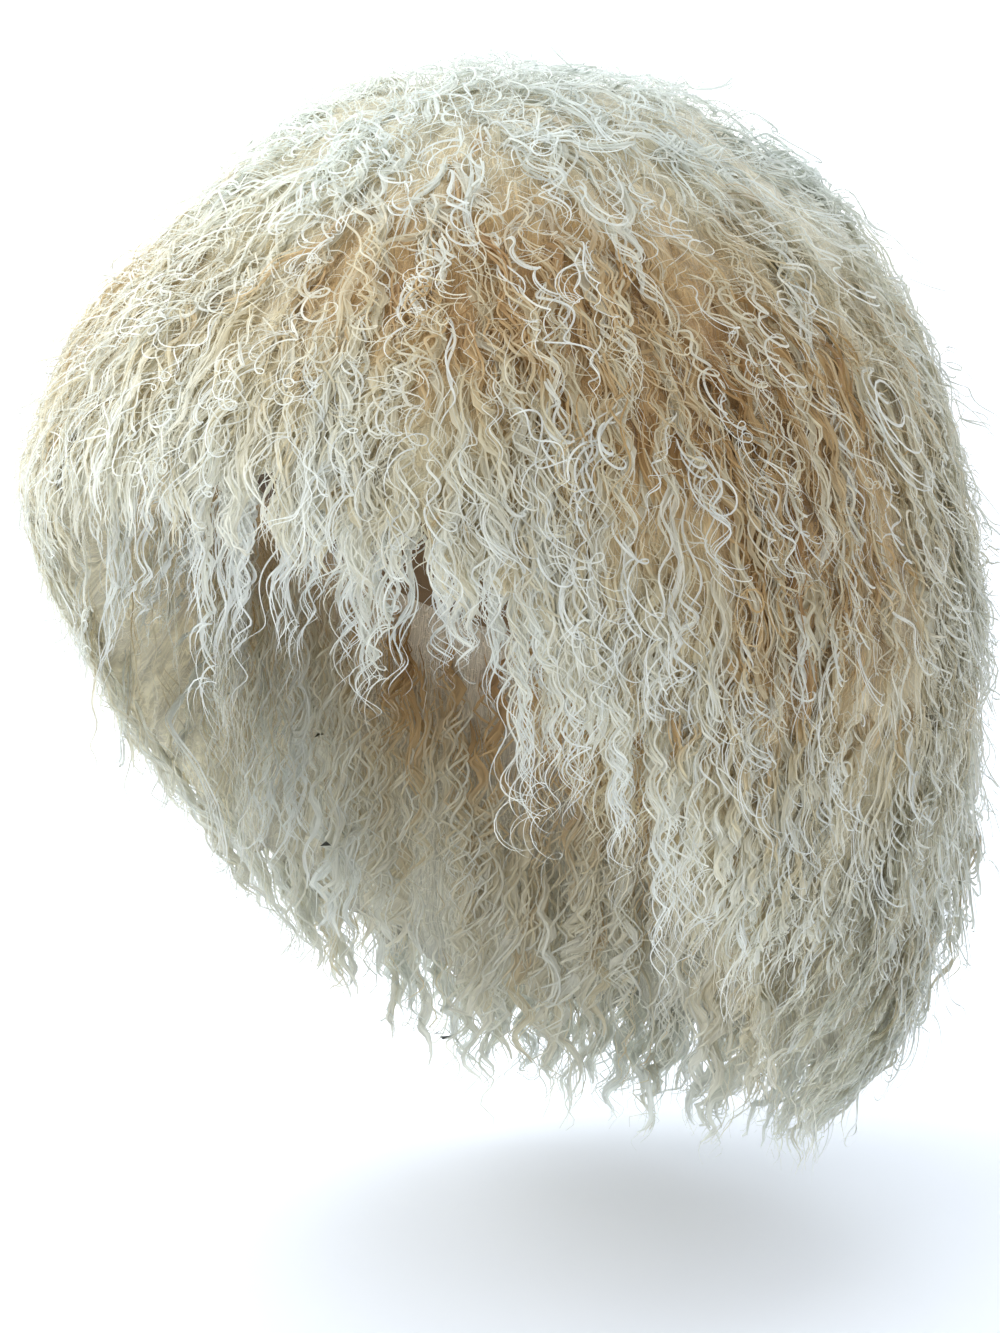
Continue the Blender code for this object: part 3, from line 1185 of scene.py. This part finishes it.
STAPLE = LockKind(
    "staple", Layer.UNDER, 4, 32, (0.060, 0.100), 0.0034, (0.0005, 0.0011),
    (0.016, 0.027), (0.0022, 0.0040), (-0.002, 0.003), (-0.001, 0.004), 0.12, 0.06, 0.0034,
)
RINGLET = LockKind(
    "ringlet", Layer.OUTER, 3, 52, (0.042, 0.070), 0.0010, (0.0005, 0.0010),
    (0.013, 0.020), (0.0032, 0.0056), (0.001, 0.005), (0.000, 0.005), 0.50, 0.10,
)
FUZZ = LockKind(
    "fuzz", Layer.UNDER, 1, 10, (0.014, 0.028), 0.0, (0.00025, 0.0005),
    (0.009, 0.015), (0.0010, 0.0026), (-0.002, 0.003), (0.000, 0.009), 0.5, 1.0,
)
CURL = LockKind(
    "curl", Layer.OUTER, 2, 56, (0.034, 0.056), 0.0008, (0.0007, 0.0012),
    (0.0125, 0.0170), (0.0044, 0.0066), (0.002, 0.005), (0.001, 0.005), 1.0, 0.25,
)
WISP = LockKind(
    "wisp", Layer.OUTER, 3, 36, (0.035, 0.060), 0.0025, (0.0004, 0.0008),
    (0.013, 0.022), (0.0030, 0.0055), (0.002, 0.006), (0.008, 0.018), 0.8, 0.35,
)
HEM_LOCK = LockKind(
    "hem_lock", Layer.UNDER, 4, 30, (0.050, 0.080), 0.0030, (0.0005, 0.0010),
    (0.016, 0.026), (0.0022, 0.0040), (-0.008, -0.001), (-0.002, 0.004), 0.25, 0.08,
)
INNER_STAPLE = LockKind(
    "inner_staple", Layer.UNDER, 4, 24, (0.050, 0.095), 0.0044, (0.0005, 0.0010),
    (0.015, 0.026), (0.0030, 0.0050), (0.000, 0.004), (0.000, 0.006), 0.2, 0.08, 0.0044,
)

# The pieces of the outer wool, and how much of what COVER says each has
SIDES = (
    # name, first and last azimuth in degrees, share
    ("front_wool", (-55.0, 45.0), 0.95),
    ("left_wool", (45.0, 125.0), 0.95),
    ("back_wool", (125.0, 205.0), 0.96),
    ("right_wool", (205.0, 305.0), 0.96),
)

# What grows on each of them
COVER = (
    # kind, count, where it begins and ends as shares of the run to the end of the body
    (STAPLE, 285, 0.0, 0.93),
    (STAPLE, 55, 0.84, 0.985),
    (RINGLET, 80, 0.02, 0.96),
    (CURL, 60, 0.05, 0.90),
    (WISP, 85, 0.02, 0.96),
    (FUZZ, 2050, 0.01, 1.0),
)


@dataclass
class Fringe:
    """The thin locks that hang from the rim in front of the forehead and temples."""

    wool: Wool
    kind: LockKind = LockKind(
        "fringe", Layer.OUTER, 5, 60, (0.060, 0.090), 0.0019, (0.0005, 0.0010),
        (0.017, 0.027), (0.0024, 0.0044), (0.0, 0.0), (-0.001, 0.002), 0.30, 0.05, 0.0024,
        0.13, 0.12,
    )
    long_kind: LockKind = LockKind(
        "long_lock", Layer.OUTER, 5, 96, (0.10, 0.15), 0.0017, (0.0004, 0.0009),
        (0.015, 0.019), (0.0030, 0.0040), (0.0, 0.0), (-0.001, 0.002), 0.0, 0.0, 0.0,
        0.20, 0.15,
    )

    def guides(self, count: int, turn: tuple[float, float]) -> Bundle:
        """Guides that start near the rim and fall plumb to about the hem's height.

        Args:
            count: How many.
            turn: First and last azimuth in degrees.

        Returns:
            The guides.
        """
        chance, fleece = self.wool.chance, self.wool.fleece
        even = np.linspace(*turn, count) + chance.normal(0, 0.6, count)
        azimuth = np.radians(chance.permutation(even))
        hem = fleece.run_of(HEM, azimuth)
        run = fleece.end_of(BODY_END, azimuth) - chance.uniform(0.0, 0.035, count)
        guides = self.wool.guides(self.kind, azimuth, run)
        position = fleece.frame(azimuth, run)[0]
        hem_height = fleece.read(fleece.height, azimuth, hem)
        tip = hem_height + chance.normal(0.006, 0.014, count)
        guides.length = np.clip(position[:, 2] - tip, 0.03, 0.14)
        reach = np.hypot(position[:, 0], position[:, 1])
        head = oval_reach(azimuth, HEAD_HALF_WIDTH, HEAD_HALF_DEPTH)
        inside = reach - head - 0.006
        depth = chance.uniform(0.15, 0.98, count) * inside
        guides.sunk = depth
        guides.rise = -depth
        guides.lift = np.zeros(count)
        guides.plumb = np.ones(count)
        guides.drift = chance.normal(0, 0.006, count)
        return guides

    def long_guides(self, each: int) -> Bundle:
        """Guides for the longest locks.

        Args:
            each: How many guides stand side by side in each lock.

        Returns:
            The guides.
        """
        chance, fleece = self.wool.chance, self.wool.fleece
        azimuth, tip, swing, loop = np.repeat([row[1:] for row in LONG_LOCKS], each, axis=0).T
        azimuth = np.radians(azimuth + chance.normal(0, 0.5, len(azimuth)))
        run = fleece.end_of(BODY_END, azimuth) - 0.015
        guides = self.wool.guides(self.long_kind, azimuth, run)
        position = fleece.frame(azimuth, run)[0]
        guides.length = position[:, 2] - tip - chance.uniform(0, 0.012, len(tip))
        guides.amplitude = swing * chance.uniform(0.9, 1.1, len(tip))
        guides.loop = loop
        guides.onset = np.full(len(tip), 0.66)
        guides.phase = np.repeat(chance.uniform(0, TURN, len(LONG_LOCKS)), each)
        guides.sunk = np.full(len(tip), 0.006)
        guides.rise = np.full(len(tip), -0.004)
        guides.plumb = np.ones(len(tip))
        return guides


@dataclass
class UnderLayer:
    """The body of the fleece: a closed lumpy form just under the locks, open round the head."""

    fleece: Fleece
    dye: Dye
    chance: np.random.RandomState
    columns: int = 250
    rows: int = 72
    rows_beneath: int = 11
    waves: tuple[int, ...] = (19, 31, 43, 61)
    sunk: float = 0.0036
    lump: float = 0.0026
    sag: float = 0.004

    def ridges(self, azimuth: np.ndarray, run: np.ndarray) -> np.ndarray:
        """Lock-like waves on the surface.

        Args:
            azimuth: Directions in radians.
            run: Runs in metres, of the same shape.

        Returns:
            Heights of the waves, from -1 to 1.
        """
        total = np.zeros(azimuth.shape)
        for number in self.waves:
            phase = self.chance.uniform(0, TURN, 3)
            sway = 1.6 * np.sin(run * TURN / 0.055 + phase[1])
            sway = sway + 1.4 * np.sin(run * TURN / 0.024 + phase[2])
            total += np.sin(number * azimuth + phase[0] + sway) / len(self.waves)
        return total

    def outside(
        self, azimuth: np.ndarray, end: np.ndarray
    ) -> tuple[np.ndarray, np.ndarray, np.ndarray]:
        """The rings of the outside, from the crown down to the body's end.

        Args:
            azimuth: Directions of the columns in radians.
            end: Runs at which the body ends there.

        Returns:
            Points, (rows, columns, 3), their runs, and how high the waves are there.
        """
        share = np.linspace(0, 1, self.rows)[:, None] ** 0.9
        grid_azimuth = np.broadcast_to(azimuth, (self.rows, self.columns))
        run = 0.004 + (end - 0.004) * share
        position, normal, _, _ = self.fleece.frame(grid_azimuth, run)
        ridge = self.ridges(grid_azimuth, run)
        thin = 1 - smooth(0.9, 1.0, share)
        crown = smooth(0.0, 0.08, run)
        outer = position + normal * (-self.sunk + self.lump * ridge * thin * crown)[..., None]
        return outer, run, ridge

    def hide_rings(self, azimuth: np.ndarray) -> tuple[np.ndarray, np.ndarray, np.ndarray]:
        """Rings just outside the hides: at the rim, halfway up and beneath the crown.

        Args:
            azimuth: Directions of the columns in radians.

        Returns:
            The three rings, each (columns, 3).
        """
        rim = ring_at(
            azimuth, oval_reach(azimuth, HEAD_HALF_WIDTH, HEAD_HALF_DEPTH) + HIDE_WALL + 0.001,
            rim_height(azimuth),
        )
        top = ring_at(
            azimuth, oval_reach(azimuth, CROWN_HALF_WIDTH, CROWN_HALF_DEPTH) + HIDE_WALL + 0.001,
            np.full(self.columns, 0.0035 - CROWN_DROP),
        )
        return rim, (rim + top) / 2, top

    def faces(self, rings: int) -> list[tuple[int, ...]]:
        """Faces between neighbouring rings, and a fan at either end.

        Args:
            rings: How many rings there are between the first point and the last.

        Returns:
            The numbers of each face's points.
        """
        faces = []
        for row in range(rings - 1):
            upper = 1 + row * self.columns
            lower = upper + self.columns
            for i in range(self.columns):
                j = (i + 1) % self.columns
                faces.append((upper + i, lower + i, lower + j, upper + j))
        last = 1 + (rings - 1) * self.columns
        for i in range(self.columns):
            j = (i + 1) % self.columns
            faces.append((0, 1 + i, 1 + j))
            faces.append((last + i, last + self.columns, last + j))
        return faces

    def colours(self, points: np.ndarray, ridge: np.ndarray, beneath: np.ndarray) -> np.ndarray:
        """Colours of the matted wool, with painted shade: darker in the hollows, toward the hides
        and against them.

        Args:
            points: All the points, (points, 3).
            ridge: How high the waves are on the outside, (rows, columns).
            beneath: How far each row beneath lies on the way in to the rim, from 0 to 1.

        Returns:
            Linear colours, (points, 3).
        """
        at = np.arctan2(points[:, 0], -points[:, 1])
        warm = self.dye.stain(at, points[:, 2])
        relief = np.concatenate([[0], ridge.ravel(), np.zeros(len(points) - 1 - ridge.size)])
        # Painted shade: darker in the hollows between the waves, lighter on their crests
        share = 0.54 - 0.36 * warm + 0.10 * relief
        # Painted shade: darker on the way in to the rim, and darkest on the rings against the hides
        inner_share = np.repeat(0.62 - 0.40 * beneath, self.columns)
        share[1 + ridge.size :] = 0.22
        share[1 + ridge.size : 1 + ridge.size + inner_share.size] = inner_share
        grey = 0.35 * smooth(75.0, 150.0, turn_from_brow(at - math.radians(10.0)))
        return self.dye.greyed(self.dye.blend(share), grey)

    def build(self, material: bpy.types.Material) -> bpy.types.Object:
        """Makes the object, as rings from the crown's middle round the hem to below the crown.

        Args:
            material: What it is made of.

        Returns:
            The new object, linked to the scene.
        """
        azimuth = np.linspace(-math.pi, math.pi, self.columns, endpoint=False)
        end = self.fleece.end_of(BODY_END, azimuth)
        end = end + 0.003 * np.sin(31 * azimuth) + 0.003 * np.sin(57 * azimuth + 1)
        outer, run, ridge = self.outside(azimuth, end)
        hide_rim, hide_mid, hide_top = self.hide_rings(azimuth)
        inner = []
        beneath = np.linspace(0, 1, self.rows_beneath + 1)[1:]
        for s in beneath:
            curve = outer[-1] + (hide_rim - outer[-1]) * s
            curve[:, 2] += self.sag * math.sin(math.pi * s) * ridge[-1]
            inner.append(curve)
        rings = [*outer, *inner, hide_mid, hide_top]
        points = np.concatenate([[[0, 0, PILE_TOP - self.sunk]], *rings, [[0, 0, 0.0045]]])
        mesh = bpy.data.meshes.new("under_wool")
        mesh.from_pydata(points.tolist(), [], self.faces(len(rings)))
        mesh.shade_smooth()
        span = np.linalg.norm(hide_rim - outer[-1], axis=-1)
        within = [end + span * s for s in beneath]
        along = np.concatenate([[0], run.ravel(), *within, end + 2 * span, end + 3 * span, [0]])
        at = np.arctan2(points[:, 0], -points[:, 1])
        places = np.stack([at * 0.15, along, np.zeros(len(points))], axis=-1)
        write_wool(mesh, self.colours(points, ridge, beneath), places)
        mesh.materials.append(material)
        return add_object("under_wool", mesh)


@dataclass(frozen=True)
class Studio:
    """A pale floor that curves up behind the hat, soft lamps, and the photographer's place."""

    floor: float = -0.375
    half_width: float = 7.0
    flat_to: float = 4.2
    bend: float = 1.8
    bend_steps: int = 16
    height: float = 6.0
    azimuth: float = 37.0
    elevation: float = 13.5
    distance: float = 1.5
    lens: float = 111.4
    target: tuple[float, float, float] = (0.0028, 0.0022, -0.147)

    def build(self) -> None:
        """Makes the floor, the light and the camera."""
        self.add_floor()
        self.add_world()
        self.add_lamp("key_softbox", (-1.6, -1.1, 1.0), 1.6, 41.0, "FAFEFF")
        self.add_lamp("top_softbox", (-0.3, 0.0, 1.9), 2.4, 38.0, "F2F9FF")
        self.add_camera()
        bpy.context.scene.view_settings.view_transform = "Standard"

    def add_floor(self) -> None:
        """A sweep: flat under the hat, rising behind it in a wide curve, and glowing away from the
        hat as painted light.
        """
        angle = math.radians(self.azimuth)
        away = Vector((-math.sin(angle), math.cos(angle), 0))
        across = Vector((math.cos(angle), math.sin(angle), 0))
        wall = self.flat_to + self.bend
        profile = [(-wall, 0.0), (self.flat_to, 0.0)]
        for i in range(1, self.bend_steps + 1):
            turn = math.pi / 2 * i / self.bend_steps
            back, up = self.bend * math.sin(turn), self.bend * (1 - math.cos(turn))
            profile.append((self.flat_to + back, up))
        profile.append((wall, self.height))
        points = []
        for back, up in profile:
            for half in (-self.half_width, self.half_width):
                points.append(away * back + across * half + Vector((0, 0, self.floor + up)))
        faces = [(2 * i, 2 * i + 1, 2 * i + 3, 2 * i + 2) for i in range(len(profile) - 1)]
        mesh = bpy.data.meshes.new("studio_sweep")
        mesh.from_pydata(points, [], faces)
        mesh.shade_smooth()
        material, tree = new_material("glowing_white_paper")
        place = add_node(tree, "ShaderNodeTexCoord")
        # Painted light: the paper glows more the farther it is from the hat, as if backdrop lamps
        # lit it
        distance = add_node(
            tree, "ShaderNodeVectorMath", {"operation": "LENGTH"}, {0: place.outputs["Object"]}
        )
        backdrop_glow = add_node(
            tree, "ShaderNodeMapRange", {"interpolation_type": "SMOOTHSTEP"},
            {"Value": distance.outputs["Value"], "From Min": 0.9, "From Max": 4.0,
             "To Min": 0.0, "To Max": 0.9},
        )
        surface = add_node(
            tree, "ShaderNodeBsdfPrincipled", None,
            {"Base Color": linear("EEF1F6"), "Roughness": 0.9, "Specular IOR Level": 0.1,
             "Emission Color": linear("FFFFFF"), "Emission Strength": backdrop_glow.outputs[0]},
        )
        add_node(tree, "ShaderNodeOutputMaterial", None, {"Surface": surface.outputs[0]})
        mesh.materials.append(material)
        add_object("studio_sweep", mesh)

    def add_world(self) -> None:
        """Even, slightly cool light from all round, which looks as white as the paper."""
        world = bpy.data.worlds.new("studio")
        bpy.context.scene.world = world
        world.use_nodes = True
        tree = world.node_tree
        tree.nodes.clear()
        ray = add_node(tree, "ShaderNodeLightPath")
        strength = add_node(
            tree, "ShaderNodeMapRange", None,
            {"Value": ray.outputs["Is Camera Ray"], "To Min": 0.83, "To Max": 1.15},
        )
        background = add_node(
            tree, "ShaderNodeBackground", None,
            {"Color": linear("F2F6FC"), "Strength": strength.outputs[0]},
        )
        add_node(tree, "ShaderNodeOutputWorld", None, {"Surface": background.outputs[0]})

    def add_lamp(
        self, name: str, place: tuple[float, float, float], size: float, power: float, colour: str
    ) -> None:
        """Adds a square softbox that faces the hat.

        Args:
            name: What it is called.
            place: Where it stands.
            size: Its side in metres.
            power: Its power in watts.
            colour: Its sRGB colour in hexadecimal digits.
        """
        lamp = bpy.data.lights.new(name, "AREA")
        lamp.size = size
        lamp.energy = power
        lamp.color = linear(colour)
        thing = add_object(name, lamp)
        thing.location = place
        direction = Vector((0, 0, -0.12)) - Vector(place)
        thing.rotation_euler = direction.to_track_quat("-Z", "Y").to_euler()

    def add_camera(self) -> None:
        """Puts the camera where the photograph was taken from."""
        azimuth, elevation = math.radians(self.azimuth), math.radians(self.elevation)
        back = Vector((
            math.sin(azimuth) * math.cos(elevation),
            -math.cos(azimuth) * math.cos(elevation),
            math.sin(elevation),
        ))
        camera = bpy.data.cameras.new("camera")
        camera.lens = self.lens
        thing = add_object("camera", camera)
        thing.location = Vector(self.target) + back * self.distance
        thing.rotation_euler = back.to_track_quat("Z", "Y").to_euler()
        bpy.context.scene.camera = thing


@dataclass
class Papakha:
    """The whole hat's looks: hides, underlayer, fuzz, locks and fringe."""

    pieces: list[bpy.types.Object] = field(default_factory=list)

    def carry(self, piece: bpy.types.Object, *nodes: str) -> None:
        """Hangs a piece on the body.

        Args:
            piece: The piece.
            nodes: The CAD nodes that it stands for.
        """
        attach(piece, ROOT)
        for node in nodes:
            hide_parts(node)
        self.pieces.append(piece)

    def dress_hides(self) -> None:
        """Gives the CAD's two hides their suede."""
        suede = SuedeHide().build()
        for name in ("crown_hide", "band_hide"):
            hide = bpy.data.objects[name]
            hide.data.materials.clear()
            hide.data.materials.append(suede)

    def build(self) -> None:
        """Builds every piece in order."""
        self.dress_hides()
        fleece = Fleece()
        wool = Wool(fleece, 11)
        lock_wool, under_wool = LockWool().build(), UnderWool().build()
        under = UnderLayer(fleece, wool.dye, np.random.RandomState(5)).build(under_wool)
        self.carry(under, "band_wool", "crown_wool")
        for name, turn, share in SIDES:
            maker = MeshMaker(name)
            for kind, count, low, high in COVER:
                azimuth, run = wool.roots(round(count * share), low, high, turn)
                wool.lay(maker, kind, wool.guides(kind, azimuth, run))
            self.carry(maker.build(lock_wool))
        maker = MeshMaker("brow_fringe")
        fringe = Fringe(wool)
        wool.lay(maker, fringe.kind, fringe.guides(114, (-72.0, 78.0)))
        wool.lay(maker, fringe.long_kind, fringe.long_guides(2))
        self.carry(maker.build(lock_wool))
        self.carry(self.inner_wool(wool).build(lock_wool))
        self.carry(self.under_locks(wool).build(lock_wool))

    def inner_wool(self, wool: Wool) -> MeshMaker:
        """The wool that hangs from the rim on the inside, from temple round to temple.

        Args:
            wool: What grows it.

        Returns:
            The piece, still to be built.
        """
        curler = InnerCurler(wool.fleece)
        maker = MeshMaker("inner_wool")
        for kind, count in ((INNER_STAPLE, 250), (FUZZ, 500)):
            azimuth = np.radians(wool.chance.uniform(46.0, 314.0, count))
            guides = wool.guides(kind, azimuth, np.zeros(count))
            rim, hem = curler.ends(azimuth)
            length = np.linalg.norm(hem - rim, axis=-1)
            guides.length = np.minimum(wool.chance.uniform(*kind.length, count), length)
            room = np.maximum(length * 1.04 - guides.length, 0.0)
            guides.run = wool.chance.uniform(0.0, 1.0, count) * room
            guides.sunk = np.full(count, 0.006)
            # Painted shade: darker near the rim, deep in the hat, and darker short of the far side.
            # Painted light: paler and whiter on the far side, past 235 degrees.
            cavity_shade = 1 - smooth(0.0, 0.13, guides.run + 0.5 * guides.length)
            far = smooth(235.0, 275.0, np.degrees(azimuth))
            guides.shade = guides.shade - 0.55 * cavity_shade - 0.14 * (1 - far) + 0.32 * far
            guides.cool_white_share = 0.2 + 0.6 * far
            wool.lay(maker, kind, guides, curler)
        return maker

    def under_locks(self, wool: Wool) -> MeshMaker:
        """The wool that hangs from the underside of the fleece's body, all round but the brow.

        Args:
            wool: What grows it.

        Returns:
            The piece, still to be built.
        """
        chance = wool.chance
        curler = UnderCurler(wool.fleece)
        maker = MeshMaker("under_locks")
        for kind, count in ((HEM_LOCK, 190), (FUZZ, 300)):
            azimuth = np.radians(chance.uniform(40.0, 320.0, count))
            guides = wool.guides(kind, azimuth, chance.uniform(0.08, 1.0, count))
            start = curler.start(guides)
            hem = wool.fleece.run_of(HEM, azimuth)
            hem_height = wool.fleece.read(wool.fleece.height, azimuth, hem)
            drop = start[:, 2] - hem_height + chance.uniform(-0.020, 0.014, count)
            guides.length = np.clip(drop, 0.02, kind.length[1] * 1.3)
            guides.sunk = np.zeros(count)
            guides.rise = chance.uniform(-0.002, 0.006, count)
            # Painted shade: darker toward the hide's rim, deep under the body. These take less of
            # the cool white's painted light.
            guides.shade = guides.shade - 0.25 * (1 - guides.run)
            guides.cool_white_share = np.full(count, 0.4)
            wool.lay(maker, kind, guides, curler)
        return maker


def triangles(thing: bpy.types.Object) -> int:
    """How many triangles a mesh object has."""
    return sum(len(polygon.vertices) - 2 for polygon in thing.data.polygons)


def main() -> None:
    """Builds the hat and its studio."""
    logging.basicConfig(level=logging.INFO, format="%(message)s")
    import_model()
    hat = Papakha()
    hat.build()
    Studio().build()
    total = 0
    for piece in hat.pieces:
        count = triangles(piece)
        total += count
        LOG.info("%s: %d triangles", piece.name, count)
    LOG.info("all: %d triangles", total)


if __name__ == "__main__":
    main()
